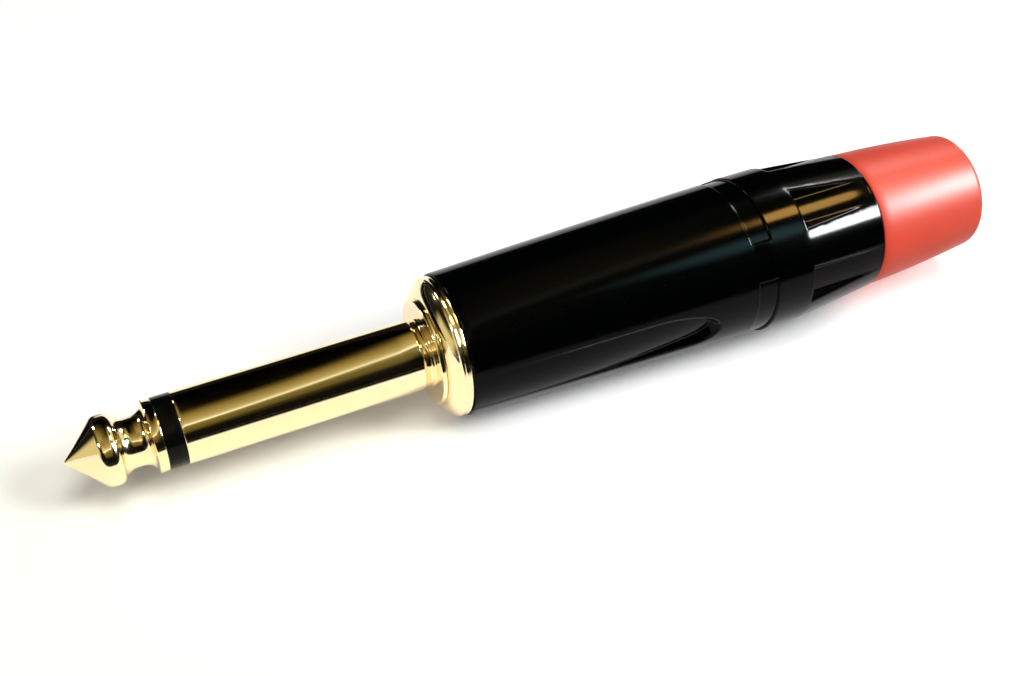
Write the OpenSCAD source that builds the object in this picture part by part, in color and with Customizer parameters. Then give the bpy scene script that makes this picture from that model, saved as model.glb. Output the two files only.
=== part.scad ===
// Straight two-pole jack plug for instrument leads, as a bench assembly:
// turned contacts, insulators, solder lugs, screw-on shell, cable chuck and boot.
// Millimetres. +X runs along the plug from the point to the boot, +Z is up.
// The origin is on the axis, at the shoulder face that stops against a jack.

/* [Contacts] */
// Diameter of the barrel and of the insulator ring
barrel_d = 6.35; // [6.2:0.01:6.5]
// Length from the point to the shoulder face
reach = 31.5; // [30:0.1:33]
// Length of the tip, from the point to the insulator ring
tip_len = 7.9; // [7.6:0.1:8.4]
// Length of the insulator ring between the tip and the barrel
insulator_len = 1.6; // [1:0.1:2.2]
// Radius that rounds the point
point_r = 0.6; // [0.3:0.05:0.7]
// Half angle of the tip's cone
cone_half = 42; // [40:1:45]
// Diameter of the tip's crown
crown_d = 6.16; // [5.9:0.02:6.2]
// Radius of the crown's rounding
crown_arc = 0.8; // [0.6:0.05:0.9]
// Slope of the crown's back, where it falls to the neck
crown_back = 45; // [35:1:50]
// Diameter of the neck, which a jack's spring drops into
neck_d = 4.2; // [3.9:0.1:4.4]
// Radius of the neck's hollow
neck_arc = 2; // [1.6:0.1:2.2]
// Diameter of the collar behind the neck
collar_d = 6.25; // [6:0.05:6.35]
// Length of that collar's rim
collar_len = 0.75; // [0.5:0.05:0.9]
// Chamfer on the collar's and the barrel's edges beside the insulator ring
edge_chamfer = 0.1; // [0.05:0.01:0.2]
// Bore of the barrel
barrel_bore_d = 4.5; // [4:0.1:4.8]
// Diameter of the centre rod
rod_d = 2.3; // [2:0.1:2.6]
// Depth that the centre rod reaches into the tip
rod_seat = 3.8; // [3:0.1:4.4]
// Length of the insulator's spigot inside the barrel
spigot_len = 2; // [1.5:0.1:4]

/* [Shoulder and flange] */
// Diameter of the shoulder disc
shoulder_d = 9.6; // [8.6:0.1:9.8]
// Thickness of the shoulder disc
shoulder_t = 0.45; // [0.35:0.05:0.7]
// Width of the relief groove at the barrel's root
relief_w = 0.5; // [0.3:0.05:0.8]
// Depth of the relief groove
relief_depth = 0.18; // [0.16:0.01:0.25]
// Land left between the relief groove and the shoulder
relief_land = 0.25; // [0.15:0.05:0.6]
// Diameter of the flange
flange_d = 12.76; // [12.5:0.02:13]
// Thickness of the flange
flange_t = 1.8; // [1.6:0.05:2.4]
// Diameter of the flange's flat front face
flange_face_d = 10.2; // [10:0.1:10.8]
// Length of the cone that widens the flange behind its front face
flange_cone = 0.8; // [0.5:0.05:1]
// Radius that rounds the flange's edges
flange_round = 0.22; // [0.1:0.01:0.3]

/* [Threaded neck] */
// Diameter over the thread that holds the shell
thread_d = 10.6; // [10.2:0.1:10.8]
// Length of the threaded neck
thread_len = 9.7; // [7:0.1:11]
// Length of the run-out groove between the flange and the thread
runout_len = 0.9; // [0.5:0.1:1.5]
// Depth of the run-out groove
runout_depth = 0.45; // [0.2:0.05:0.6]

/* [Solder lugs] */
// Thickness of both lugs
lug_t = 0.45; // [0.3:0.05:0.6]
// Width of the ground lug's strap
ground_w = 3.2; // [2:0.1:3.6]
// Length of the ground lug behind its ring
ground_len = 12; // [8:0.1:14]
// Height of the ears that fold round the cable's screen
ear_h = 1.4; // [0.8:0.1:1.6]
// Length of those ears
ear_len = 4.5; // [2:0.1:6]
// Height of the tip lug's strap above the axis
tip_lug_h = 2.5; // [2.4:0.1:3.2]
// Width of the tip lug's strap
tip_lug_w = 2.4; // [1.6:0.1:3]
// Length of the tip lug behind its ring
tip_lug_len = 7; // [4:0.1:8]
// Diameter of the wire hole in each lug
wire_hole_d = 1.2; // [0.8:0.1:1.4]
// Thickness of the lip that the barrel is peened over with
peen_t = 0.4; // [0.3:0.05:0.6]
// Diameter of that lip
peen_d = 7; // [6.8:0.1:7.2]
// Diameter of the rear insulator's flange
bush_d = 6.8; // [6:0.1:7.2]
// Thickness of the rear insulator's flange
bush_t = 1.3; // [0.9:0.1:2]
// Length of the rear insulator's spigot inside the barrel
bush_spigot = 4; // [2:0.1:6]
// Thickness of the washer under the rivet head
washer_t = 0.4; // [0.3:0.05:0.6]
// Diameter of the washer under the rivet head
washer_d = 4; // [3.6:0.1:4.1]
// Diameter of the rod's rivet head
rivet_d = 3.6; // [3.2:0.1:3.8]
// Height of the rod's rivet head
rivet_h = 0.7; // [0.5:0.1:1]

/* [Shell] */
// Length of the shell
shell_len = 41.85; // [40:0.05:44]
// Diameter of the shell at the flange
shell_front_d = 13.06; // [12.8:0.02:13.4]
// Diameter of the shell in front of the notch ring
shell_mid_d = 14.64; // [14.3:0.02:14.8]
// Diameter of the shell between the notch ring and the grips
belly_d = 14.88; // [14.6:0.02:15.2]
// Diameter of the shell at the boot
tail_d = 13.2; // [12.8:0.02:13.6]
// How far the body's side bows out over its chord
side_bow = 0.065; // [0:0.005:0.15]
// Distance from the shell's front to the notch ring
notch_at = 27.75; // [26:0.05:28.5]
// Width of the notch ring
notch_w = 1.95; // [1.4:0.05:2.2]
// Depth of the notch ring below the belly
notch_depth = 0.36; // [0.2:0.01:0.5]
// Number of lands that interrupt the notch ring
lands = 3; // [2:1:3]
// Arc that each land covers
land_arc = 29; // [20:1:40]
// Distance from the shell's front to the grips
grip_at = 33.5; // [32:0.05:34.5]
// Number of grips round the tail
grips = 6; // [4:1:6]
// Height of the grips' floor over the tail's radius, where the grips run out
grip_rise = 0.06; // [0.04:0.01:0.2]
// Half width of a grip's floor
grip_half = 1.45; // [1:0.05:1.6]
// Outward lean of a grip's side walls
grip_lean = 52; // [30:1:55]
// Distance that the belly's ridges keep from the walls of the notches and the grips
ridge_lead = 0.15; // [0.1:0.05:0.3]
// Angle from the top to the first grip
clock = 26; // [0:1:59]
// Angle from the top to the first thumb scoop
thumb_at = 95.8; // [90:0.1:110]
// Number of thumb scoops
thumbs = 2; // [1:1:2]
// Width of a thumb scoop
thumb_w = 4.4; // [3.6:0.1:5.4]
// Distance from the shell's front to a scoop's rounded rear end
thumb_end = 23.9; // [20:0.1:25]
// Distance from the shell's front to where a scoop runs out
thumb_start = 1.2; // [0.5:0.1:4]
// Depth of a thumb scoop at its rear end
thumb_depth = 1; // [0.6:0.01:1.1]
// Height over the side at which a scoop's floor starts, so that it cuts in cleanly
thumb_lead = 0.01; // [0.005:0.005:0.03]
// Radius that rounds the shell's rear edge
tail_round = 0.3; // [0.1:0.05:0.5]

/* [Liner, chuck and boot] */
// Wall of the insulating liner
liner_wall = 0.55; // [0.4:0.05:0.6]
// Length of the chuck
chuck_len = 9.2; // [8:0.1:9.6]
// Length of the chuck's plain front collar
chuck_collar = 1.4; // [1:0.1:2]
// Bore of the chuck, closed on the cable
chuck_bore_d = 6.2; // [5:0.1:6.4]
// Number of slots between the chuck's fingers
chuck_slots = 4; // [3:1:6]
// Width of those slots
slot_w = 1; // [0.6:0.1:1.4]
// Length of those slots
slot_len = 7; // [4:0.1:7.4]
// Bore of the boot
boot_bore_d = 6.6; // [6.5:0.1:7]
// Diameter of the boot's neck inside the shell's rear opening
boot_neck_d = 8.3; // [8:0.1:8.6]
// Diameter of the boot's trapped flange
boot_flange_d = 9.5; // [9.2:0.1:9.6]
// Length of the boot's trapped flange
boot_flange_t = 2.1; // [1.5:0.1:2.4]
// Length of the shell's rear lip
lip_len = 2.7; // [2:0.1:3.2]
// Diameter of the boot beside the shell
boot_front_d = 13; // [12.4:0.05:13.1]
// Diameter of the boot at its rear end
boot_rear_d = 11.2; // [10.6:0.05:12]
// Length of the boot behind the shell
boot_len = 12.25; // [10:0.05:14]
// How far the boot's side bows out over its chord
boot_bow = 0.12; // [0:0.01:0.25]
// Radius that rounds the boot's rear edge
boot_round = 0.85; // [0.5:0.05:1.2]
// Length of the flare at the mouth of the boot's bore
flare_len = 0.8; // [0.4:0.1:1]

/* [Clearances] */
// Radial gap between pressed pieces
press_gap = 0.02; // [0.01:0.01:0.04]
// Radial gap between the neck's thread and the shell
thread_gap = 0.08; // [0.05:0.01:0.1]
// Radial gap round the boot, the chuck and the liner inside the shell
turn_gap = 0.1; // [0.06:0.01:0.15]
// Gap between the flange and the shell's front
seat_gap = 0.05; // [0.02:0.01:0.1]
// Gap between the shell's rear and the boot
seam_gap = 0.12; // [0.05:0.01:0.2]
// Gap at each end of the liner
liner_gap = 0.2; // [0.1:0.05:0.4]
// Gap between the ground lug and the liner round it
lug_gap = 0.15; // [0.1:0.01:0.25]

/* [Hidden] */
$fn = 96;
arc_steps = 8;
bow_steps = 6;
// Stations along the axis
x_point = -reach;
x_ring = x_point + tip_len;
x_barrel = x_ring + insulator_len;
x_flange = shoulder_t;
x_seat = x_flange + flange_t;
x_shell = x_seat + seat_gap;
x_neck = x_seat + thread_len;
x_peen = x_neck + lug_t;
x_bush = x_peen + peen_t;
x_tip_lug = x_bush + bush_t;
x_washer = x_tip_lug + lug_t;
x_rivet = x_washer + washer_t;
x_ridge = x_shell + notch_at + ridge_lead;
x_tail = x_shell + shell_len;
x_boot = x_tail + seam_gap;
x_boot_end = x_boot + boot_len;
x_lip = x_tail - lip_len;
x_boot_flange = x_lip - seam_gap - boot_flange_t;
x_chuck = x_boot_flange - chuck_len;
x_cone = x_chuck + chuck_collar;
x_liner = x_neck + liner_gap;
liner_len = x_chuck - liner_gap - x_liner;
// Radii
barrel_r = barrel_d / 2;
rod_r = rod_d / 2;
sleeve_r = barrel_bore_d / 2 - press_gap;
shell_bore_r = thread_d / 2 + thread_gap;
liner_r = shell_bore_r - turn_gap;
liner_bore_r = liner_r - liner_wall;
ground_r = sqrt((liner_bore_r - lug_gap) ^ 2 - (ground_w / 2) ^ 2);
tail_bore_r = boot_flange_d / 2 + turn_gap;
lip_r = boot_neck_d / 2 + turn_gap;
// Centres of the tip's arcs, set so that the cone and the crown's back are tangents
crown_y = crown_d / 2 - crown_arc;
neck_y = neck_d / 2 + neck_arc;
cone_run = (cos(cone_half) * crown_y - point_r + crown_arc) / sin(cone_half);
crown_x = x_point + point_r + cone_run;
back_rise = sin(crown_back) * (neck_y - crown_y);
neck_x = crown_x + (crown_arc + neck_arc - back_rise) / cos(crown_back);
// Far enough to clear any wall that a cutter passes through
past = 1;

// Points on an arc about [x, y], from one angle to another
function arc(x, y, r, from, to, steps = arc_steps) =
    [for (i = [0:steps]) let (a = from + (to - from) * i / steps)
        [x + r * cos(a), y + r * sin(a)]];

// Points on a side from [x0, r0] to [x1, r1] that bows out at its middle
function bowed(x0, r0, x1, r1, bow) =
    [for (i = [0:bow_steps]) let (t = i / bow_steps)
        [x0 + (x1 - x0) * t, r0 + (r1 - r0) * t + 4 * bow * t * (1 - t)]];

// Turns an outline of [along the axis, radius] points about the X axis
module turned(outline) {
    rotate([0, 90, 0]) rotate_extrude() polygon([for (p = outline) [p[1], p[0]]]);
}

// A plain rod or disc along the axis
module disc(x, r, len) {
    translate([x, 0, 0]) rotate([0, 90, 0]) cylinder(h = len, r = r);
}

// Turns its children about the axis, by an angle from the top towards -Y
module clocked(angle) {
    rotate([angle, 0, 0]) children();
}

module tip_contact() {
    seat_r = rod_r + press_gap;
    color("gold") turned(concat(
        [[x_point, 0]],
        arc(x_point + point_r, 0, point_r, 180, 90 + cone_half),
        arc(crown_x, crown_y, crown_arc, 90 + cone_half, crown_back),
        arc(neck_x, neck_y, neck_arc, 180 + crown_back, 300),
        [[x_ring - collar_len, collar_d / 2],
         [x_ring - edge_chamfer, collar_d / 2],
         [x_ring, collar_d / 2 - edge_chamfer],
         [x_ring, seat_r],
         [x_ring - rod_seat, seat_r],
         [x_ring - rod_seat, 0]]
    ));
}

module centre_rod() {
    x_rod = x_ring - rod_seat;
    color("goldenrod") turned([
        [x_rod, 0],
        [x_rod, rod_r - edge_chamfer],
        [x_rod + edge_chamfer, rod_r],
        [x_rivet, rod_r],
        [x_rivet, rivet_d / 2],
        [x_rivet + rivet_h / 2, rivet_d / 2],
        [x_rivet + rivet_h, rivet_d / 4],
        [x_rivet + rivet_h, 0]
    ]);
}

module tip_insulator() {
    hole_r = rod_r + press_gap;
    color("#101010") turned([
        [x_ring, hole_r],
        [x_ring, barrel_r],
        [x_barrel, barrel_r],
        [x_barrel, sleeve_r],
        [x_barrel + spigot_len, sleeve_r],
        [x_barrel + spigot_len, hole_r]
    ]);
}

module rod_tube() {
    x_tube = x_barrel + spigot_len;
    x_tube_end = x_bush - bush_spigot;
    color("ivory") difference() {
        disc(x_tube, sleeve_r, x_tube_end - x_tube);
        disc(x_tube - past, rod_r + press_gap, x_tube_end - x_tube + 2 * past);
    }
}

module barrel() {
    groove_end = -relief_land;
    groove_start = groove_end - relief_w;
    color("gold") turned([
        [x_barrel, barrel_bore_d / 2],
        [x_barrel, barrel_r - edge_chamfer],
        [x_barrel + edge_chamfer, barrel_r],
        [groove_start - relief_depth, barrel_r],
        [groove_start, barrel_r - relief_depth],
        [groove_end, barrel_r - relief_depth],
        [groove_end, barrel_r],
        [0, barrel_r],
        [0, shoulder_d / 2 - edge_chamfer],
        [edge_chamfer, shoulder_d / 2],
        [shoulder_t - edge_chamfer, shoulder_d / 2],
        [shoulder_t, shoulder_d / 2 - edge_chamfer],
        [shoulder_t, barrel_r],
        [x_peen, barrel_r],
        [x_peen, peen_d / 2],
        [x_bush, peen_d / 2 - edge_chamfer],
        [x_bush, barrel_bore_d / 2]
    ]);
}

module plug_body() {
    rim_r = flange_d / 2;
    x_cone_end = x_flange + edge_chamfer + flange_cone;
    color("gold") difference() {
        turned(concat(
            [[x_flange, 0],
             [x_flange, flange_face_d / 2],
             [x_flange + edge_chamfer, flange_face_d / 2 + edge_chamfer],
             [x_cone_end, rim_r - flange_round]],
            arc(x_cone_end + flange_round, rim_r - flange_round, flange_round, 150, 90, 4),
            arc(x_seat - flange_round, rim_r - flange_round, flange_round, 90, 0, 4),
            [[x_seat, thread_d / 2 - runout_depth],
             [x_seat + runout_len, thread_d / 2 - runout_depth],
             [x_seat + runout_len + runout_depth, thread_d / 2],
             [x_neck - runout_depth, thread_d / 2],
             [x_neck, thread_d / 2 - runout_depth],
             [x_neck, 0]]
        ));
        disc(x_flange - past, barrel_r + press_gap, x_neck - x_flange + 2 * past);
    }
}

module ground_lug() {
    strap_z = -ground_r;
    x_ears = x_neck + ground_len - ear_len;
    color("silver") difference() {
        union() {
            disc(x_neck, ground_r, lug_t);
            translate([x_neck, -ground_w / 2, strap_z])
                cube([ground_len, ground_w, lug_t]);
            translate([x_neck, -ground_w / 2, strap_z])
                cube([lug_t, ground_w, ground_r]);
            for (side = [0, 1])
                mirror([0, side, 0])
                    translate([x_ears, ground_w / 2 - lug_t, strap_z])
                        cube([ear_len, lug_t, ear_h]);
        }
        disc(x_neck - past, barrel_r + press_gap, lug_t + 2 * past);
        translate([x_ears - wire_hole_d, 0, strap_z - past])
            cylinder(h = lug_t + 2 * past, d = wire_hole_d);
    }
}

module rear_insulator() {
    color("#202020") difference() {
        union() {
            disc(x_bush - bush_spigot, sleeve_r, bush_spigot);
            disc(x_bush, bush_d / 2, bush_t);
        }
        disc(x_bush - bush_spigot - past, rod_r + press_gap,
             bush_spigot + bush_t + 2 * past);
    }
}

module tip_lug() {
    ring_r = tip_lug_h + lug_t / 2;
    color("silver") difference() {
        union() {
            disc(x_tip_lug, ring_r, lug_t);
            translate([x_tip_lug, -tip_lug_w / 2, 0])
                cube([lug_t, tip_lug_w, tip_lug_h + lug_t]);
            translate([x_tip_lug, -tip_lug_w / 2, tip_lug_h])
                cube([tip_lug_len, tip_lug_w, lug_t]);
        }
        disc(x_tip_lug - past, rod_r + press_gap, lug_t + 2 * past);
        translate([x_tip_lug + tip_lug_len - wire_hole_d, 0, tip_lug_h - past])
            cylinder(h = lug_t + 2 * past, d = wire_hole_d);
    }
}

module rivet_washer() {
    color("goldenrod") difference() {
        disc(x_washer, washer_d / 2, washer_t);
        disc(x_washer - past, rod_r + press_gap, washer_t + 2 * past);
    }
}

module liner() {
    color("dimgray") difference() {
        disc(x_liner, liner_r, liner_len);
        disc(x_liner - past, liner_bore_r, liner_len + 2 * past);
    }
}

module chuck() {
    nose_r = tail_bore_r - turn_gap;
    color("whitesmoke") difference() {
        turned([
            [x_chuck, chuck_bore_d / 2],
            [x_chuck, liner_r],
            [x_cone, liner_r],
            [x_boot_flange, nose_r],
            [x_boot_flange, chuck_bore_d / 2]
        ]);
        for (i = [0:chuck_slots - 1])
            clocked(i * 360 / chuck_slots)
                translate([x_boot_flange - slot_len, -slot_w / 2, 0])
                    cube([slot_len + past, slot_w, liner_r + past]);
    }
}

module boot() {
    bore_r = boot_bore_d / 2;
    side_end = x_boot_end - boot_round;
    color("tomato") turned(concat(
        [[x_boot_flange, bore_r],
         [x_boot_flange, boot_flange_d / 2],
         [x_boot_flange + boot_flange_t, boot_flange_d / 2],
         [x_boot_flange + boot_flange_t, boot_neck_d / 2],
         [x_boot, boot_neck_d / 2],
         [x_boot, boot_front_d / 2 - edge_chamfer]],
        bowed(x_boot + edge_chamfer, boot_front_d / 2, side_end, boot_rear_d / 2, boot_bow),
        arc(side_end, boot_rear_d / 2 - boot_round, boot_round, 82, 0),
        [[x_boot_end, bore_r + flare_len],
         [x_boot_end - flare_len, bore_r]]
    ));
}

// The shell's outside, before the scoops, the notch ring and the grips are cut
function shell_side() = concat(
    bowed(x_shell, shell_front_d / 2, x_ridge, shell_mid_d / 2, side_bow),
    [[x_ridge + notch_w - 2 * ridge_lead, belly_d / 2],
     [x_shell + grip_at - ridge_lead, belly_d / 2],
     [x_tail - tail_round, tail_d / 2]],
    arc(x_tail - tail_round, tail_d / 2 - tail_round, tail_round, 84, 0, 4)
);

// The hollow of the shell: threaded bore, cone for the chuck, seat and rear opening
function shell_hollow() = [
    [x_tail, lip_r],
    [x_lip, lip_r],
    [x_lip, tail_bore_r],
    [x_boot_flange, tail_bore_r],
    [x_cone, shell_bore_r],
    [x_shell + runout_depth, shell_bore_r],
    [x_shell, shell_bore_r + runout_depth]
];

// Ring of notches: a groove round the shell with a land left between each two
module notch_ring() {
    floor_r = belly_d / 2 - notch_depth;
    notch_arc = 360 / lands - land_arc;
    for (i = [0:lands - 1])
        clocked(clock + 180 / grips + land_arc / 2 + i * 360 / lands)
            translate([x_shell + notch_at, 0, 0])
                rotate([0, 90, 0]) rotate([0, 0, 180])
                    rotate_extrude(angle = notch_arc)
                        translate([floor_r, 0]) square([notch_depth + past, notch_w]);
}

// One grip: a channel with leaning walls, down to a round floor
module grip_cut() {
    floor_r = tail_d / 2 + grip_rise;
    top_r = belly_d / 2 + past;
    lean = tan(grip_lean);
    cut_len = x_tail - x_shell - grip_at;
    translate([x_shell + grip_at, 0, 0]) rotate([90, 0, 90])
        linear_extrude(cut_len + past) polygon([
            [-grip_half, floor_r / 2],
            [grip_half, floor_r / 2],
            [grip_half, floor_r],
            [grip_half + (top_r - floor_r) * lean, top_r],
            [-grip_half - (top_r - floor_r) * lean, top_r],
            [-grip_half, floor_r]
        ]);
}

// Radius of the shell's bowed side at a distance behind its front
function side_r(at) =
    let (t = at / (x_ridge - x_shell))
    (shell_front_d + (shell_mid_d - shell_front_d) * t) / 2 + 4 * side_bow * t * (1 - t);

// Floor of a thumb scoop: it leaves the side slowly and is deepest at its rear end
function thumb_floor() =
    [for (i = [0:bow_steps])
        let (t = i / bow_steps, at = thumb_start + (thumb_end - thumb_start) * t)
        [x_shell + at, side_r(at) + thumb_lead - (thumb_depth + thumb_lead) * t ^ 2]];

// One thumb scoop: a slot with a rounded rear end, down to a floor that is round too
module thumb_cut() {
    slot = thumb_end - thumb_start - thumb_w / 2;
    floor_line = thumb_floor();
    x_end = x_shell + thumb_end + past;
    difference() {
        translate([x_shell + thumb_start, 0, 0]) linear_extrude(belly_d / 2 + past) union() {
            translate([0, -thumb_w / 2]) square([slot, thumb_w]);
            translate([slot, 0]) circle(d = thumb_w);
        }
        turned(concat([[x_shell, 0], [x_shell, shell_front_d / 2 + thumb_lead]],
                      floor_line,
                      [[x_end, floor_line[bow_steps][1]], [x_end, 0]]));
    }
}

module shell() {
    color("#0c0c0e") difference() {
        turned(concat(shell_side(), shell_hollow()));
        notch_ring();
        for (i = [0:grips - 1])
            clocked(clock + i * 360 / grips)
                difference() {
                    grip_cut();
                    disc(x_shell + grip_at - past, tail_d / 2 + grip_rise, shell_len);
                }
        for (i = [0:thumbs - 1])
            clocked(thumb_at + i * 360 / thumbs) thumb_cut();
    }
}

tip_contact();
centre_rod();
tip_insulator();
rod_tube();
barrel();
plug_body();
ground_lug();
rear_insulator();
tip_lug();
rivet_washer();
liner();
chuck();
boot();
shell();
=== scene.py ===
"""Straight two-pole jack plug: the looks of its pieces, on the frame of its solids.

Pieces are measured in millimetres along the plug's axis, X, from the shoulder
face that stops against a jack. Meshes are made in metres.
"""
import math

import bmesh
import bpy
import numpy as np
from mathutils import Matrix, Vector


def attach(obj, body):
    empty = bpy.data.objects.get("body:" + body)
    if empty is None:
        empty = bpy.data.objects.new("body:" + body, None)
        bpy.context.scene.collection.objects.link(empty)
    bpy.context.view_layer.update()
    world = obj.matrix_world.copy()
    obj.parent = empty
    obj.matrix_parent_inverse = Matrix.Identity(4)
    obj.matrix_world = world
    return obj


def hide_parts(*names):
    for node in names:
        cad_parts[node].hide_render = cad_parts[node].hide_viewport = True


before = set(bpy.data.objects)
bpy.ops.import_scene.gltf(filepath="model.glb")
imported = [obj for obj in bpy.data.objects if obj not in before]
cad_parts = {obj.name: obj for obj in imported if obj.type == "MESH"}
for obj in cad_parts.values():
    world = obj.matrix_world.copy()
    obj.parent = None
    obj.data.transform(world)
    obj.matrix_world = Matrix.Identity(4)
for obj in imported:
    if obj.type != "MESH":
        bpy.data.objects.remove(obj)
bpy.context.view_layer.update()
scene = bpy.context.scene
MM = 0.001


# ---------------------------------------------------------------- camera

def aim_camera():
    """The camera over the tip's side, looking down along the plug."""
    right = Vector((0.90785, -0.41929, 0.0))
    up = Vector((0.28446, 0.61591, 0.7347))
    back = Vector((-0.30803, -0.66697, 0.67844))
    lens = bpy.data.cameras.new("camera")
    lens.sensor_width = 36.0
    lens.lens = 52.734
    lens.clip_start = 0.005
    lens.clip_end = 20.0
    camera = bpy.data.objects.new("camera", lens)
    turn = Matrix((right, up, back)).transposed().to_4x4()
    camera.matrix_world = Matrix.Translation((-0.033124, -0.090458, 0.090369)) @ turn
    scene.collection.objects.link(camera)
    scene.camera = camera


aim_camera()
scene.view_settings.view_transform = "Standard"


# ---------------------------------------------------------------- shader bench

class Wire:
    """One output of a shader node. Python's operators on it add Math nodes."""

    def __init__(self, bench, socket):
        self.bench = bench
        self.socket = socket

    def math(self, operation, *values):
        return self.bench.node("ShaderNodeMath", {"operation": operation}, values)

    def __add__(self, other):
        return self.math("ADD", self, other)

    def __sub__(self, other):
        return self.math("SUBTRACT", self, other)

    def __rsub__(self, other):
        return self.math("SUBTRACT", other, self)

    def __mul__(self, other):
        return self.math("MULTIPLY", self, other)

    def __truediv__(self, other):
        return self.math("DIVIDE", self, other)

    def __rtruediv__(self, other):
        return self.math("DIVIDE", other, self)

    def __pow__(self, other):
        return self.math("POWER", self, other)

    __radd__ = __add__
    __rmul__ = __mul__

    def step(self, low, high):
        """0 below low, 1 above high, smooth between."""
        return self.bench.node("ShaderNodeMapRange",
                               {"interpolation_type": "SMOOTHSTEP"},
                               {"Value": self, "From Min": low, "From Max": high})


class Bench:
    """Builds the node tree of one material, world or lamp card."""

    def __init__(self, tree):
        self.tree = tree
        tree.nodes.clear()

    def node(self, kind, settings=None, values=(), out=0):
        """A node of a kind: its settings, then its sockets' values or links."""
        made = self.tree.nodes.new(kind)
        for key, value in (settings or {}).items():
            if key == "stops":
                self.set_stops(made.color_ramp, value)
            else:
                setattr(made, key, value)
        pairs = values.items() if isinstance(values, dict) else enumerate(values)
        for key, value in pairs:
            if isinstance(value, Wire):
                self.tree.links.new(value.socket, made.inputs[key])
            else:
                made.inputs[key].default_value = value
        return Wire(self, made.outputs[out]) if made.outputs else None

    @staticmethod
    def set_stops(ramp, stops):
        while len(ramp.elements) < len(stops):
            ramp.elements.new(0.5)
        for element, (place, colour) in zip(ramp.elements, stops):
            element.position = place
            element.color = (*colour, 1.0)

    def place(self):
        """Where a point lies on the object, in metres."""
        return self.node("ShaderNodeTexCoord", out="Object")

    def parts(self, vector):
        """The three numbers of a vector."""
        made = self.node("ShaderNodeSeparateXYZ", {}, (vector,)).socket.node
        return [Wire(self, socket) for socket in made.outputs]

    def stretched(self, vector, scale):
        return self.node("ShaderNodeVectorMath", {"operation": "MULTIPLY"}, (vector, scale))

    def noise(self, vector, scale, detail=2.0, roughness=0.5):
        return self.node("ShaderNodeTexNoise", {},
                         {"Vector": vector, "Scale": scale, "Detail": detail,
                          "Roughness": roughness})

    def blend(self, amount, first, second):
        """A colour between two, or one multiplied into the other."""
        made = self.tree.nodes.new("ShaderNodeMix")
        made.data_type = "RGBA"
        for socket, value in zip((made.inputs["Factor"], made.inputs[6], made.inputs[7]),
                                 (amount, first, second)):
            if isinstance(value, Wire):
                self.tree.links.new(value.socket, socket)
            elif isinstance(value, tuple):
                socket.default_value = (*value, 1.0)
            else:
                socket.default_value = value
        return Wire(self, made.outputs[2])

    def bump(self, height, distance, strength=1.0):
        """Raises the surface by height times a distance in millimetres."""
        return self.node("ShaderNodeBump", {},
                         {"Strength": strength, "Distance": distance * MM,
                          "Height": height})

    def finish(self, **sockets):
        """The material's shader, with values set on its own sockets."""
        named = {name.replace("_", " "): value for name, value in sockets.items()}
        for name in ("Base Color", "Coat Tint", "Specular Tint", "Emission Color"):
            if isinstance(named.get(name), tuple):
                named[name] = (*named[name], 1.0)
        shader = self.node("ShaderNodeBsdfPrincipled", {}, named)
        self.node("ShaderNodeOutputMaterial", {}, {"Surface": shader})


def new_material(name):
    material = bpy.data.materials.new(name)
    material.use_nodes = True
    return material, Bench(material.node_tree)


# ---------------------------------------------------------------- finishes

def plated_gold():
    """Polished gold plate: turning marks round the axis, and faint handling haze."""
    material, b = new_material("plated_gold")
    here = b.place()
    along = b.parts(here)[0]
    turning = b.noise(b.stretched(here, (9000.0, 60.0, 60.0)), 1.0, 3.0)
    chatter = b.noise(b.stretched(here, (6500.0, 500.0, 500.0)), 1.0, 1.0)
    throat = along.step(-0.0273, -0.0269) * (1 - along.step(-0.0263, -0.0257))
    rolled = along.step(0.0010, 0.0013) * (1 - along.step(0.0023, 0.0025))
    haze = b.noise(here, 420.0, 4.0, 0.6)
    specks = b.noise(here, 5200.0, 2.0).step(0.70, 0.78)
    colour = b.blend(haze.step(0.35, 0.7), (1.0, 0.84, 0.52), (0.99, 0.82, 0.49))
    waves = b.noise(here, 1500.0, 1.0)
    height = turning * 0.12 + chatter * throat * 1.0 + waves * rolled * 1.6
    b.finish(Base_Color=colour, Metallic=1.0,
             Roughness=0.05 + haze * 0.04 + turning * 0.02 + specks * 0.08,
             Normal=b.bump(height, 0.006))
    return material


def gloss_lacquer():
    """Black lacquer: a soft orange peel, with a little dust and haze in its gloss."""
    material, b = new_material("gloss_lacquer")
    here = b.place()
    peel = b.noise(here, 700.0, 2.0)
    haze = b.noise(here, 180.0, 4.0, 0.6)
    dust = b.noise(here, 6500.0, 1.0).step(0.72, 0.80)
    colour = b.blend(dust * 0.4, (0.0003, 0.0005, 0.0005), (0.010, 0.010, 0.011))
    b.finish(Base_Color=colour, Metallic=0.0, Specular_IOR_Level=0.07,
             Roughness=0.09 + haze * 0.05 + dust * 0.1,
             Normal=b.bump(peel, 0.0010))
    return material


def ring_plastic():
    """Gloss black plastic, with the marks of the tool that faced it."""
    material, b = new_material("ring_plastic")
    here = b.place()
    marks = b.noise(b.stretched(here, (7000.0, 90.0, 90.0)), 1.0, 2.0)
    haze = b.noise(here, 900.0, 3.0)
    colour = b.blend(haze, (0.0010, 0.0010, 0.0010), (0.003, 0.003, 0.003))
    b.finish(Base_Color=colour, Specular_IOR_Level=0.10, Roughness=0.12 + haze * 0.12,
             Normal=b.bump(marks, 0.001))
    return material


def boot_rubber():
    """Coral red moulded rubber with a satin skin."""
    material, b = new_material("boot_rubber")
    here = b.place()
    skin = b.noise(here, 4200.0, 3.0, 0.6)
    cloud = b.noise(here, 240.0, 3.0)
    colour = b.blend(cloud.step(0.3, 0.75), (0.71, 0.066, 0.037), (0.67, 0.060, 0.033))
    b.finish(Base_Color=colour, Specular_IOR_Level=0.20,
             Roughness=0.36 + cloud * 0.08 + skin * 0.05, Normal=b.bump(skin, 0.0025))
    return material


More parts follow.
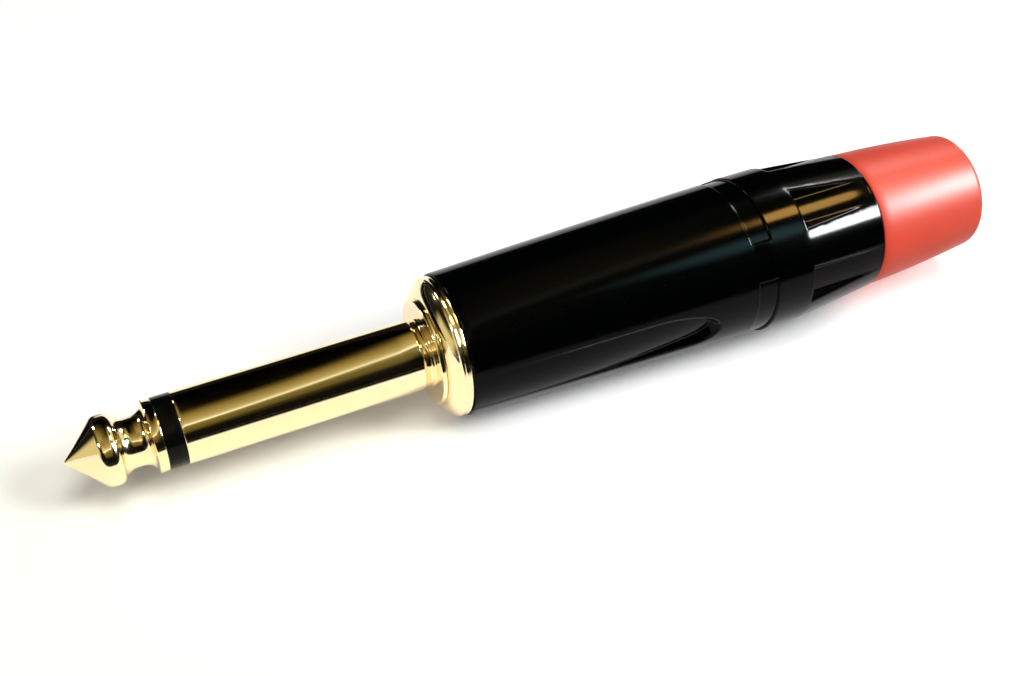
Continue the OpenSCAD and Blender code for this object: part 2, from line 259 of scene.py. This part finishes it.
def turned_brass():
    """Bare brass as it comes off the lathe."""
    material, b = new_material("turned_brass")
    here = b.place()
    turning = b.noise(b.stretched(here, (5000.0, 40.0, 40.0)), 1.0, 4.0)
    tarnish = b.noise(here, 500.0, 4.0)
    colour = b.blend(tarnish.step(0.35, 0.7), (0.72, 0.50, 0.20), (0.52, 0.34, 0.13))
    b.finish(Base_Color=colour, Metallic=1.0, Roughness=0.22 + tarnish * 0.2,
             Normal=b.bump(turning, 0.003))
    return material


def tinned_steel():
    """Tinned lug metal with dull blooms and rolling marks."""
    material, b = new_material("tinned_steel")
    here = b.place()
    rolling = b.noise(b.stretched(here, (300.0, 6000.0, 6000.0)), 1.0, 2.0)
    bloom = b.noise(here, 900.0, 5.0, 0.65)
    colour = b.blend(bloom.step(0.35, 0.7), (0.78, 0.77, 0.74), (0.60, 0.60, 0.58))
    b.finish(Base_Color=colour, Metallic=1.0, Roughness=0.28 + bloom * 0.25,
             Normal=b.bump(rolling, 0.002))
    return material


def moulded_plastic(name, light, dark, grain, gloss):
    """Plain moulded plastic: cloudy colour and a fine grain."""
    material, b = new_material(name)
    here = b.place()
    fine = b.noise(here, grain, 3.0)
    cloud = b.noise(here, 350.0, 3.0)
    b.finish(Base_Color=b.blend(cloud, light, dark), Roughness=gloss + cloud * 0.12,
             Normal=b.bump(fine, 0.006))
    return material


gold = plated_gold()
lacquer = gloss_lacquer()
black_ring = ring_plastic()
red_rubber = boot_rubber()
brass = turned_brass()
tin = tinned_steel()
natural_tube = moulded_plastic("natural_tube", (0.82, 0.79, 0.70), (0.74, 0.70, 0.60), 3000.0, 0.4)
black_bush = moulded_plastic("black_bush", (0.035, 0.035, 0.036), (0.02, 0.02, 0.021), 3500.0, 0.5)
grey_liner = moulded_plastic("grey_liner", (0.055, 0.056, 0.06), (0.035, 0.036, 0.04), 2500.0, 0.45)
white_chuck = moulded_plastic("white_chuck", (0.80, 0.79, 0.75), (0.72, 0.71, 0.67), 3000.0, 0.35)


# ---------------------------------------------------------------- turned pieces

POINT = -31.5
TIP_REAR, RING_REAR = -23.6, -22.0      # faces on both sides of the insulator ring
ROD_R = 1.17                            # the rod's hole through tip and ring
SPIGOT_R = 2.23
BARREL_R = 3.175
DISC_REAR = 0.45                        # the shoulder disc sits on the body here
FLANGE_REAR = 2.25
NECK_REAR = 11.95
THREAD = (0.8, 4.85, 5.3)               # pitch, root radius, crest radius
TRAP_FRONT, TRAP_REAR = 39.23, 41.33    # the boot's flange, caught inside the shell
BOOT_FRONT, BOOT_REAR = 44.27, 55.67    # ends of the boot's bowed side
BOOT_FRONT_R, BOOT_REAR_R, BOOT_BOW = 6.5, 5.6, 0.12
CABLE_R = 3.3


def arc(x, y, radius, start, end, steps=12):
    """Points on an arc about (x, y), from one angle in degrees to another."""
    turns = np.radians(np.linspace(start, end, steps + 1))
    return [(x + radius * math.cos(t), y + radius * math.sin(t)) for t in turns]


def run(start, end, steps):
    """Points along a straight line, both ends included."""
    spots = np.linspace(0.0, 1.0, steps + 1)
    return [(start[0] + (end[0] - start[0]) * s, start[1] + (end[1] - start[1]) * s)
            for s in spots]


def put_in_order(bm):
    """Sorts a mesh's parts by where they lie, so that every run gives the same order."""
    slant = Vector((1.0, 0.0137, 0.000171))
    bm.verts.sort(key=lambda v: v.co.dot(slant))
    bm.edges.sort(key=lambda e: (e.verts[0].co + e.verts[1].co).dot(slant))
    bm.faces.sort(key=lambda f: f.calc_center_median().dot(slant))
    for parts in (bm.verts, bm.edges, bm.faces):
        parts.index_update()
        parts.ensure_lookup_table()


def spun(outline, sides=128, closed=True):
    """A bmesh turned about the X axis from an outline of (along, radius) points."""
    bm = bmesh.new()
    verts = [bm.verts.new((x * MM, 0.0, r * MM)) for x, r in outline]
    edges = [bm.edges.new(pair) for pair in zip(verts, verts[1:])]
    if closed:
        edges.append(bm.edges.new((verts[-1], verts[0])))
    bmesh.ops.spin(bm, geom=verts + edges, cent=(0, 0, 0), axis=(1, 0, 0),
                   angle=2 * math.pi, steps=sides, use_merge=True, use_duplicate=False)
    bmesh.ops.remove_doubles(bm, verts=bm.verts[:], dist=1e-7)
    bmesh.ops.recalc_face_normals(bm, faces=bm.faces[:])
    put_in_order(bm)
    return bm


def piece(name, bm, body, material, nodes, crease=40.0):
    """Makes a finished piece from a bmesh and fixes it to its body."""
    mesh = bpy.data.meshes.new(name)
    bm.to_mesh(mesh)
    bm.free()
    mesh.shade_smooth()
    mesh.set_sharp_from_angle(angle=math.radians(crease))
    mesh.materials.append(material)
    made = bpy.data.objects.new(name, mesh)
    scene.collection.objects.link(made)
    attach(made, body)
    if nodes:
        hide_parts(*nodes)
    return made


def make_tip():
    """The tip contact: rounded point, cone, crown, hollow neck and collar."""
    nose = 0.3
    outline = [(POINT, 0.0)]
    outline += arc(POINT + nose, 0.0, nose, 180, 135, 6)[1:]
    outline += arc(-28.2, 2.2, 0.86, 135, 90, 10)
    outline += arc(-27.8, 2.2, 0.86, 90, 38, 12)
    outline += arc(-25.97, 3.656, 1.5, 220, 270, 16)
    outline += arc(-25.53, 3.256, 1.1, 270, 345, 20)
    outline += arc(-24.33, 3.05, 0.12, 165, 90, 5)
    outline += arc(TIP_REAR - 0.08, 3.045, 0.08, 90, 0, 5)
    outline += [(TIP_REAR, ROD_R), (-27.4, ROD_R), (-27.4, 0.0)]
    return piece("tip_turned", spun(outline, 144, closed=False), "insert", gold,
                 ["tip_contact"])


def make_ring():
    """The insulator ring, with its spigot inside the barrel."""
    edge, rim, spigot_rear = 0.03, 3.115, -20.0
    outline = [(TIP_REAR, ROD_R)] + arc(TIP_REAR + edge, rim, edge, 180, 90, 3)
    outline += arc(RING_REAR - edge, rim, edge, 90, 0, 3)
    outline += [(RING_REAR, SPIGOT_R), (spigot_rear, SPIGOT_R), (spigot_rear, ROD_R)]
    return piece("ring_moulded", spun(outline, 128), "insert", black_ring,
                 ["tip_insulator"])


def make_barrel():
    """The barrel, its relief groove, the shoulder disc and the peened tube."""
    bore, edge, disc_r, peen_rear = 2.25, 0.08, 4.7, 12.80
    outline = [(RING_REAR, bore)]
    outline += arc(RING_REAR + edge, BARREL_R - edge, edge, 180, 90, 5)
    outline += run((-21.7, BARREL_R), (-1.0, BARREL_R), 12)
    outline += [(-0.93, 3.17)] + arc(-0.70, 3.045, 0.05, 200, 270, 3)
    outline += [(-0.30, 2.995)] + arc(-0.27, 3.02, 0.02, 290, 360, 2)
    outline += arc(-0.22, BARREL_R - 0.03, 0.03, 180, 90, 3) + [(-0.10, BARREL_R)]
    outline += arc(-0.06, 3.235, 0.06, 270, 360, 4)
    outline += [(0.0, 3.6), (0.0, 4.6)] + arc(0.1, disc_r, 0.1, 180, 90, 5)
    outline += arc(DISC_REAR - 0.1, disc_r, 0.1, 90, 0, 5)
    outline += [(DISC_REAR, BARREL_R), (12.40, BARREL_R), (12.40, 3.5)]
    outline += arc(peen_rear - 0.12, 3.38, 0.12, 90, 0, 4) + [(peen_rear, bore)]
    return piece("barrel_turned", spun(outline, 144), "insert", gold,
                 ["barrel"])


def thread_radius(x, turn):
    """Radius of the neck's right-handed thread, in millimetres."""
    pitch, root, crest = THREAD
    place = np.mod(x / pitch - turn / (2 * math.pi), 1.0)
    flank = np.clip(np.abs(place - 0.5) * 2.0 * 1.5 - 0.22, 0.0, 1.0)
    fade = np.clip((x - 3.25) / 0.7, 0.0, 1.0) * np.clip((11.9 - x) / 0.5, 0.0, 1.0)
    return root + (crest - root) * flank * fade


def make_plug_body():
    """The flange, and the neck with a cut thread behind it."""
    bore, face_r, bead, bead_r = 3.195, 4.98, 0.22, 6.16
    groove_r, root = 6.332, THREAD[1]
    outline = [(DISC_REAR, bore), (DISC_REAR, face_r)]
    outline += arc(DISC_REAR + 0.30, face_r, 0.30, 180, 158, 5)[1:]
    outline += arc(3.017, 4.07, 2.742, 158, 129, 14)[1:]
    outline += arc(1.55, bead_r, bead, 150, 56, 12)
    outline += [(1.70, groove_r), (1.86, groove_r)]
    outline += arc(FLANGE_REAR - bead, bead_r, bead, 118, 0, 14)
    outline += [(FLANGE_REAR, root), (2.6, root), (3.1, root)]
    outline += run((3.2, root), (NECK_REAR - 0.1, root), 112)
    outline += [(NECK_REAR, 4.80), (NECK_REAR, bore)]
    bm = spun(outline, 120)
    thread = [v for v in bm.verts
              if 3.15 * MM < v.co.x < 11.9 * MM and v.co.yz.length > 4 * MM]
    for v in thread:
        turn = math.atan2(v.co.z, v.co.y)
        want = float(thread_radius(v.co.x / MM, turn)) * MM
        v.co.yz *= want / v.co.yz.length
    return piece("flange_and_thread", bm, "insert", gold, ["plug_body"])


def make_boot():
    """The boot: trapped flange, neck, bowed side, rounded rear and flared mouth."""
    trap_r, edge, neck_r, shoulder_r = 4.75, 0.1, 4.15, 6.30
    outline = [(TRAP_FRONT, CABLE_R), (TRAP_FRONT, trap_r - edge), (TRAP_FRONT + edge, trap_r),
               (TRAP_REAR - edge, trap_r), (TRAP_REAR, trap_r - edge),
               (TRAP_REAR, neck_r), (BOOT_FRONT, neck_r), (BOOT_FRONT, shoulder_r)]
    outline += arc(BOOT_FRONT + 0.12, shoulder_r, 0.12, 180, 100, 4)[1:]
    side_front = BOOT_FRONT + 0.1
    for t in np.linspace(0.0, 1.0, 25)[1:]:
        along = side_front + (BOOT_REAR - side_front) * t
        taper = BOOT_FRONT_R + (BOOT_REAR_R - BOOT_FRONT_R) * t
        outline.append((along, taper + 4 * BOOT_BOW * t * (1 - t)))
    outline += arc(BOOT_REAR, 4.75, 0.85, 82, 8, 10)
    outline += arc(56.42, 4.2, 0.1, 0, -60, 3) + [(55.72, CABLE_R + 0.02)]
    outline += run((55.4, CABLE_R), (40.0, CABLE_R), 6)
    return piece("boot_moulded", spun(outline, 144), "tail", red_rubber,
                 ["boot"])


# ---------------------------------------------------------------- shell

SHELL_FRONT, SHELL_REAR = 2.30, 44.15
FRONT_R, WAIST_R, RIDGE_R = 6.53, 7.32, 7.44
SIDE_REAR, RAMP, TAIL_FRONT = 30.2, 1.65, 35.65
SIDE_BOW = 0.065
TAIL_FALL = 0.84 / 8.2                  # how fast the tail cone closes
LIP, HEEL, HEEL_R = 0.12, 0.14, 6.583   # the front and rear edges' rounds

GRIPS, GRIP_TURN, GRIP_FRONT = 6, 26, 35.80
GRIP_HALF, GRIP_LEAN, GRIP_FLOOR = 1.45, 52, 6.66

NOTCHES, NOTCH_TURN, NOTCH = 3, 56, (30.05, 32.00)
LAND_HALF, NOTCH_BED, NOTCH_DRAFT = 14.5, 7.19, 0.15

SCOOPS, SCOOP_TURN, SCOOP_DEPTH = 2, 95.8, 0.80
SCOOP_FRONT, SCOOP_REAR = 3.4, 26.17
SCOOP_UPPER, SCOOP_LOWER = (7.0, 2.4), (2.5, 2.0)   # reach along and across, each side


def soft_max(a, b, blend):
    """The larger of two distances, rounded where they cross."""
    near = np.maximum(blend - np.abs(a - b), 0.0) / blend
    return np.maximum(a, b) + near * near * blend / 4


def side_radius(x):
    """The shell's outside before anything is cut: bowed side, ridge, tail cone."""
    t = (x - SHELL_FRONT) / (SIDE_REAR - SHELL_FRONT)
    side = FRONT_R + (WAIST_R - FRONT_R) * t + 4 * SIDE_BOW * t * (1 - t)
    ramp = WAIST_R + (x - SIDE_REAR) * (RIDGE_R - WAIST_R) / RAMP
    front = np.where(x < SIDE_REAR, side, ramp)
    tail = RIDGE_R - (x - TAIL_FRONT) * TAIL_FALL
    ridge = -soft_max(-RIDGE_R + 0 * x, -tail, 0.03)
    radius = -soft_max(-front, -ridge, 0.02)
    edge = np.clip(SHELL_FRONT + LIP - x, 0.0, LIP)
    radius = radius - (LIP - np.sqrt(LIP * LIP - edge * edge))
    edge = np.clip(x - (SHELL_REAR - HEEL), 0.0, HEEL)
    return radius - (HEEL - np.sqrt(HEEL * HEEL - edge * edge))


def from_nearest(turn, first, count):
    """Angle from the nearest of several evenly spaced centres."""
    space = 2 * math.pi / count
    return np.mod(turn - math.radians(first) + space / 2, space) - space / 2


def grip_gap(x, turn, r):
    """Distance from the nearest grip's pocket, with leaning walls and an open rear."""
    off = from_nearest(turn, GRIP_TURN, GRIPS)
    across, out = np.abs(r * np.sin(off)), r * np.cos(off)
    lean = math.radians(GRIP_LEAN)
    wall = (across - GRIP_HALF - (out - GRIP_FLOOR) * math.tan(lean)) * math.cos(lean)
    grip = soft_max(wall, (GRIP_FRONT - x) + (r - GRIP_FLOOR) * 0.10, 0.10)
    return soft_max(grip, GRIP_FLOOR - 0.02 - r, 0.10)


def notch_gap(x, turn, r):
    """Distance from the hollow of the notch ring, which each land interrupts."""
    off = from_nearest(turn, NOTCH_TURN, NOTCHES)
    bed = NOTCH_BED + np.clip(x - NOTCH[0], 0.0, 2.0) * 0.02
    draft = (r - bed) * NOTCH_DRAFT
    land = (math.radians(LAND_HALF) - np.abs(off)) * r + draft
    notch = np.maximum(NOTCH[0] - x, x - NOTCH[1]) + draft
    notch = soft_max(notch, land, 0.08)
    return soft_max(notch, bed - r, 0.06)


def scoop_gap(x, turn, r):
    """Distance from the nearest thumb scoop, which deepens rearwards to a round end."""
    across = 7.1 * from_nearest(turn, SCOOP_TURN, SCOOPS) - 0.2
    depth = SCOOP_DEPTH * (np.clip(x - SCOOP_FRONT, 0.0, 23.0) / 21.0) ** 2
    floor = side_radius(x) - depth - r
    upper = across < 0
    reach = np.where(upper, SCOOP_UPPER[0], SCOOP_LOWER[0])
    half = np.where(upper, SCOOP_UPPER[1], SCOOP_LOWER[1])
    along = np.maximum(x - (SCOOP_REAR - reach), 0.0)
    ring = np.maximum(np.hypot(along / reach, across / half), 0.05)
    slope = np.maximum(np.hypot(along / reach ** 2, across / half ** 2), 0.02)
    lean = np.interp(across, [-0.8, 0.8], [0.7, 0.9])
    rim = ((ring - 1) * ring / slope + lean * (floor + depth)) / np.sqrt(1 + lean ** 2)
    return soft_max(rim, floor, 0.12)


def skin_gap(x, turn, r):
    """Distance from the shell's finished skin: below 0 inside the metal."""
    gap = soft_max(r - side_radius(x), -grip_gap(x, turn, r), 0.16)
    gap = soft_max(gap, -notch_gap(x, turn, r), 0.14)
    return soft_max(gap, -scoop_gap(x, turn, r), 0.14)


def skin_radius(x, turn):
    """Radius of the shell's finished skin, found by halving."""
    low = np.full_like(x, 5.9)
    high = np.full_like(x, 7.6)
    for _ in range(26):
        mid = (low + high) / 2
        inside = skin_gap(x, turn, mid) < 0
        low = np.where(inside, mid, low)
        high = np.where(inside, high, mid)
    return (low + high) / 2


def polar(points):
    """Along the axis, angle from the top towards -Y, and radius, in millimetres."""
    x, y, z = (points / MM).T
    return x, np.arctan2(-y, z), np.hypot(y, z)


def on_skin(v):
    """True for a vertex on the shell's outside."""
    return v.co.yz.length > 6.1 * MM and v.co.x < (SHELL_REAR - HEEL + 0.005) * MM


def settle_skin(bm):
    """Moves each vertex of the outside in or out, on to the finished skin."""
    verts = [v for v in bm.verts if on_skin(v)]
    x, turn, r = polar(np.array([v.co for v in verts]))
    for v, ratio in zip(verts, skin_radius(x, turn) / r):
        v.co.yz *= ratio


def refine_skin(bm, tolerance):
    """Splits the faces whose edges stand off the finished skin."""
    edges = [e for e in bm.edges if on_skin(e.verts[0]) and on_skin(e.verts[1])]
    middles = np.array([(e.verts[0].co + e.verts[1].co) / 2 for e in edges])
    x, turn, r = polar(middles)
    off = np.abs(skin_radius(x, turn) - r) > tolerance
    faces = {f for e, wide in zip(edges, off) if wide for f in e.link_faces}
    split = sorted({e for f in faces for e in f.edges}, key=lambda e: e.index)
    bmesh.ops.subdivide_edges(bm, edges=split, cuts=1, use_grid_fill=True)
    put_in_order(bm)
    settle_skin(bm)


def make_shell():
    """The screw-on shell: notches, grips and thumb scoops in a bowed side."""
    bore, tail_bore, throat = 5.38, 4.85, 4.25
    rear_seat, round_r = 41.45, 0.12
    stations = np.concatenate([
        SHELL_FRONT + LIP * (1 - np.cos(np.radians([10, 30, 50, 70, 90]))),
        np.arange(3.0, 29.6, 0.5), np.arange(29.6, 32.6, 0.2),
        np.arange(32.6, 35.4, 0.4), np.arange(35.4, 36.6, 0.2),
        np.arange(36.6, 43.9, 0.4), [SHELL_REAR - HEEL]])
    outline = [(SHELL_FRONT, FRONT_R - LIP)]
    outline += [(float(x), float(side_radius(np.array([x]))[0])) for x in stations]
    outline += arc(SHELL_REAR - HEEL, HEEL_R - HEEL, HEEL, 80, 0, 7)
    outline += arc(SHELL_REAR - round_r, throat + round_r, round_r, 0, -90, 4)
    outline += [(rear_seat, throat), (rear_seat, tail_bore), (TRAP_FRONT, tail_bore),
                (31.43, bore)]
    outline += run((31.0, bore), (2.75, bore), 10) + [(2.32, 5.82)]
    bm = spun(outline, 180)
    settle_skin(bm)
    for tolerance in (0.006, 0.005, 0.004):
        refine_skin(bm, tolerance)
    bmesh.ops.triangulate(bm, faces=[f for f in bm.faces if len(f.verts) > 4])
    put_in_order(bm)
    print("shell faces", len(bm.faces))
    return piece("shell_lacquered", bm, "shell", lacquer, ["shell"],
                 crease=50.0)


make_tip()
make_ring()
make_barrel()
make_plug_body()
make_boot()
make_shell()

for node, material in (("centre_rod", brass), ("rivet_washer", brass),
                       ("ground_lug", tin), ("tip_lug", tin),
                       ("rod_tube", natural_tube), ("rear_insulator", black_bush),
                       ("liner", grey_liner), ("chuck", white_chuck),
                       ("tip_contact", gold), ("barrel", gold), ("plug_body", gold),
                       ("tip_insulator", black_ring), ("boot", red_rubber),
                       ("shell", lacquer)):
    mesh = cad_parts[node].data
    mesh.materials.clear()
    mesh.materials.append(material)


# ---------------------------------------------------------------- studio

def towards(azimuth, elevation):
    """Direction from the plug, in degrees from +X towards +Y, and up."""
    a, e = math.radians(azimuth), math.radians(elevation)
    return Vector((math.cos(e) * math.cos(a), math.cos(e) * math.sin(a), math.sin(e)))


MIDDLE = Vector((0.012, 0.0, 0.0))
TABLE = (Matrix.Translation((31.85 * MM, 0.0, -7.445 * MM))
         @ Matrix.Rotation(math.atan(0.0288), 4, "Y"))


def lamp(name, azimuth, elevation, distance, width, height, glow, colour,
         in_gloss=True, in_matt=True):
    """A soft lamp that faces the plug; glow is the brightness of its face."""
    light = bpy.data.lights.new(name, "AREA")
    light.shape = "ELLIPSE"
    light.size, light.size_y = width, height
    light.energy = glow * math.pi * math.pi * width * height / 4
    light.color = colour
    made = bpy.data.objects.new(name, light)
    aim = towards(azimuth, elevation)
    made.matrix_world = (Matrix.Translation(MIDDLE + aim * distance)
                         @ aim.to_track_quat("Z", "Y").to_matrix().to_4x4())
    made.visible_glossy = in_gloss
    made.visible_diffuse = in_matt
    scene.collection.objects.link(made)


def card(name, azimuth, elevation, distance, width, height, glow, colour, soft):
    """A dim glowing card with soft edges, seen only in the plug's gloss."""
    material, b = new_material(name)
    ax, ay, _ = b.parts(b.place())
    reach_x = (ax * ax) ** 0.5 / (width / 2)
    reach_y = (ay * ay) ** 0.5 / (height / 2)
    mask = (1 - reach_x.step(1 - soft, 1.0)) * (1 - reach_y.step(1 - soft, 1.0))
    glowing = b.node("ShaderNodeEmission", {}, {"Color": b.blend(mask, (0.0, 0.0, 0.0), colour),
                                                "Strength": glow})
    clear = b.node("ShaderNodeBsdfTransparent")
    both = b.node("ShaderNodeAddShader", {}, (clear, glowing))
    b.node("ShaderNodeOutputMaterial", {}, {"Surface": both})
    bm = bmesh.new()
    bmesh.ops.create_grid(bm, x_segments=1, y_segments=1, size=0.5)
    bmesh.ops.scale(bm, vec=(width, height, 1.0), verts=bm.verts[:])
    mesh = bpy.data.meshes.new(name)
    bm.to_mesh(mesh)
    bm.free()
    mesh.materials.append(material)
    made = bpy.data.objects.new(name, mesh)
    aim = towards(azimuth, elevation)
    made.matrix_world = (Matrix.Translation(MIDDLE + aim * distance)
                         @ aim.to_track_quat("Z", "Y").to_matrix().to_4x4())
    made.visible_camera = made.visible_shadow = made.visible_diffuse = False
    scene.collection.objects.link(made)


def lay_floor():
    """A white table top under the belly: pale to the camera, with the plug's shadow."""
    bm = bmesh.new()
    bmesh.ops.create_circle(bm, cap_ends=True, segments=96, radius=3.0)
    mesh = bpy.data.meshes.new("table_top")
    bm.to_mesh(mesh)
    bm.free()
    material, b = new_material("white_table")
    path = b.tree.nodes.new("ShaderNodeLightPath")
    straight = Wire(b, path.outputs["Is Camera Ray"])
    gloss = Wire(b, path.outputs["Is Glossy Ray"]) + Wire(b, path.outputs["Is Transmission Ray"])
    # Painted shade: rays that have already bounced see the table dark olive, which darkens and
    # tints the contact shadows.
    bounce_shade = Wire(b, path.outputs["Diffuse Depth"]).step(0.2, 0.8)
    x, y, _ = b.parts(b.place())
    # Painted bounce light: the table is painted cream beside the gold and glows pink beside the
    # boot; far off it is plain white.
    gold_bounce_mask = x.step(-0.095, -0.075) * (1 - x.step(-0.040, -0.026))
    gold_bounce_mask = gold_bounce_mask * y.step(-0.040, -0.020) * (1 - y.step(0.004, 0.020))
    gold_bounce_colour = b.blend(gold_bounce_mask, (0.90, 0.90, 0.90), (0.90, 0.885, 0.79))
    white = b.blend(bounce_shade, gold_bounce_colour, (0.56, 0.47, 0.22))
    matt = b.node("ShaderNodeBsdfDiffuse", {}, {"Color": white})
    far = ((x * x + y * y) ** 0.5).step(0.18, 0.50)
    # Painted pink glow of light bounced off the boot, which also lifts the shadow beside it.
    boot_glow_mask = x.step(0.006, 0.016) * (1 - x.step(0.040, 0.055)) * y.step(-0.030, -0.014)
    lift = b.node("ShaderNodeEmission", {}, {
        "Color": b.blend(boot_glow_mask, (1.0, 1.0, 1.0), (1.0, 0.58, 0.56)),
        "Strength": straight * (0.12 + boot_glow_mask * 0.40 + far) + gloss * 0.14 * (1 - bounce_shade)})
    both = b.node("ShaderNodeAddShader", {}, (matt, lift))
    b.node("ShaderNodeOutputMaterial", {}, {"Surface": both})
    mesh.materials.append(material)
    floor = bpy.data.objects.new("table_top", mesh)
    floor.matrix_world = TABLE
    scene.collection.objects.link(floor)


def hang_drape():
    """A dark drape round the table, which the camera looks past."""
    bm = bmesh.new()
    bmesh.ops.create_uvsphere(bm, u_segments=48, v_segments=24, radius=2.0)
    low = [v for v in bm.verts if v.co.z < -0.3]
    bmesh.ops.delete(bm, geom=low, context="VERTS")
    mesh = bpy.data.meshes.new("drape")
    bm.to_mesh(mesh)
    bm.free()
    material, b = new_material("dark_drape")
    fold = b.noise(b.place(), 3.0, 2.0)
    b.finish(Base_Color=b.blend(fold, (0.006, 0.007, 0.008), (0.014, 0.013, 0.012)),
             Roughness=0.9)
    mesh.materials.append(material)
    drape = bpy.data.objects.new("drape", mesh)
    drape.visible_camera = False
    drape.visible_shadow = False
    drape.visible_diffuse = False
    scene.collection.objects.link(drape)


def hang_ceiling():
    """A dim warm ceiling with one bright edge, seen only in the plug's gloss."""
    height, half_width = 0.7, 1.85
    material, b = new_material("warm_ceiling")
    x, y, _ = b.parts(b.place())
    across, along = x / height, y / height
    edge = b.node("ShaderNodeValToRGB", {"stops": [
        (0.0, (0.05,) * 3), (0.34, (0.208,) * 3), (0.41, (0.40,) * 3), (0.475, (0.65,) * 3),
        (0.58, (0.80,) * 3), (0.72, (0.85,) * 3)]}, (across + 0.2,))
    past = along - (edge * 1.2 - 1.2)
    glow = b.node("ShaderNodeValToRGB", {"stops": [
        (0.0, (0.03, 0.022, 0.005)), (0.21, (0.115, 0.09, 0.025)), (0.40, (0.14, 0.115, 0.03)),
        (0.50, (0.20, 0.16, 0.05)), (0.538, (0.26, 0.21, 0.09)), (0.550, (0.98, 0.94, 0.76)),
        (0.592, (0.98, 0.94, 0.76)), (0.614, (0.56, 0.50, 0.31)), (0.68, (0.41, 0.345, 0.17)),
        (0.77, (0.29, 0.23, 0.085)), (0.84, (0.19, 0.145, 0.04)), (0.90, (0.05, 0.035, 0.01)),
        (0.95, (0.0, 0.0, 0.0))]}, ((past + 1.6) / 2.8,))
    shown = across.step(-1.3, -0.6) * (1 - across.step(0.36, 0.62))
    over_tip = (1 - across.step(-0.12, 0.08)) * along.step(-0.6, -0.1) * (1 - along.step(0.5, 1.5))
    near_tip = b.blend(along.step(-0.3, 0.8), (0.34, 0.26, 0.09), (0.06, 0.04, 0.01))
    glow = b.blend(over_tip, glow, near_tip)
    lit = b.node("ShaderNodeEmission", {}, {"Color": glow, "Strength": 1.16})
    clear = b.node("ShaderNodeBsdfTransparent")
    mixed = b.node("ShaderNodeMixShader", {}, (shown, clear, lit))
    b.node("ShaderNodeOutputMaterial", {}, {"Surface": mixed})
    bm = bmesh.new()
    bmesh.ops.create_grid(bm, x_segments=1, y_segments=1, size=half_width)
    mesh = bpy.data.meshes.new("ceiling")
    bm.to_mesh(mesh)
    bm.free()
    mesh.materials.append(material)
    made = bpy.data.objects.new("ceiling", mesh)
    made.location = (0.0, 0.0, height)
    made.visible_camera = made.visible_shadow = made.visible_diffuse = False
    scene.collection.objects.link(made)


def lay_flag():
    """Black cloths on the table, before the plug and past its tip, seen only in gloss."""
    material, b = new_material("black_cloth")
    x, y, _ = b.parts(b.place())
    bare = y.step(-0.056, -0.032) * (1 - y.step(0.013, 0.020) * (1 - x.step(-0.063, -0.053)))
    weave = b.noise(b.place(), 900.0, 2.0)
    dark = b.node("ShaderNodeBsdfDiffuse", {}, {
        "Color": b.blend(weave, (0.002, 0.002, 0.002), (0.005, 0.0045, 0.004))})
    clear = b.node("ShaderNodeBsdfTransparent")
    mixed = b.node("ShaderNodeMixShader", {}, (bare, dark, clear))
    b.node("ShaderNodeOutputMaterial", {}, {"Surface": mixed})
    bm = bmesh.new()
    bmesh.ops.create_grid(bm, x_segments=1, y_segments=1, size=0.5)
    bmesh.ops.translate(bm, vec=(0.0, -0.53, 0.0006), verts=bm.verts[:])
    behind = bmesh.ops.create_grid(bm, x_segments=1, y_segments=1, size=0.35)["verts"]
    bmesh.ops.translate(bm, vec=(-0.40, 0.36, 0.0006), verts=behind)
    mesh = bpy.data.meshes.new("flag")
    bm.to_mesh(mesh)
    bm.free()
    mesh.materials.append(material)
    made = bpy.data.objects.new("flag", mesh)
    made.matrix_world = TABLE
    made.visible_camera = made.visible_shadow = made.visible_diffuse = False
    scene.collection.objects.link(made)


def light_world():
    """White behind everything for the camera and for gloss, a plain fill for the rest."""
    world = bpy.data.worlds.new("studio")
    scene.world = world
    world.use_nodes = True
    b = Bench(world.node_tree)
    path = b.tree.nodes.new("ShaderNodeLightPath")
    seen = Wire(b, path.outputs["Is Camera Ray"]) + Wire(b, path.outputs["Is Glossy Ray"])
    seen = (seen + Wire(b, path.outputs["Is Transmission Ray"])).step(0.4, 0.6)
    back = b.node("ShaderNodeBackground", {}, {"Color": (1, 1, 1, 1),
                                               "Strength": 0.10 + seen * 0.90})
    b.node("ShaderNodeOutputWorld", {}, {"Surface": back})


COOL, WARM, SPOT = (0.97, 1.0, 1.0), (1.0, 0.99, 0.97), (1.0, 0.98, 0.94)

lay_floor()
lay_flag()
hang_drape()
hang_ceiling()
light_world()
lamp("key", -28, 29, 0.70, 0.35, 0.15, 180.0, (0.95, 1.0, 1.0), in_matt=False)
lamp("key_fill", -36, 40, 0.70, 0.24, 0.24, 19.0, COOL, in_gloss=False)
lamp("overhead", -75, 73, 0.90, 0.46, 0.46, 8.6, WARM, in_gloss=False)
lamp("left_fill", -136, 46, 0.90, 0.50, 0.40, 4.0, WARM, in_gloss=False)
lamp("warm_lamp", -11.5, 57.5, 0.70, 0.15, 0.10, 56.0, (1.0, 0.56, 0.14), in_matt=False)
lamp("spot_left", 133, 26, 0.60, 0.083, 0.083, 60.0, SPOT, in_matt=False)
lamp("spot_back", -171, 33, 0.60, 0.083, 0.083, 60.0, SPOT, in_matt=False)
lamp("spot_far", 32, 44, 0.60, 0.12, 0.09, 45.0, SPOT, in_matt=False)
lamp("spot_low", 31, 5, 0.60, 0.07, 0.07, 30.0, SPOT, in_matt=False)
card("left_wall", 178, 5, 0.70, 0.74, 0.50, 0.72, (1.0, 0.90, 0.52), 0.6)
card("warm_halo", -13, 60, 0.66, 0.18, 0.13, 9.0, (1.0, 0.44, 0.07), 0.9)
card("cool_haze", -46, 46, 0.66, 0.26, 0.26, 5.4, (0.50, 0.95, 1.0), 0.9)
card("end_glow", 14, 38, 0.66, 0.64, 0.36, 0.75, (1.0, 0.95, 0.72), 0.4)
card("back_glow", 172, 46, 0.72, 1.00, 0.42, 0.13, (1.0, 0.80, 0.28), 0.4)
card("front_glow", -120, 43, 0.72, 0.52, 0.36, 0.24, (1.0, 0.82, 0.42), 0.6)
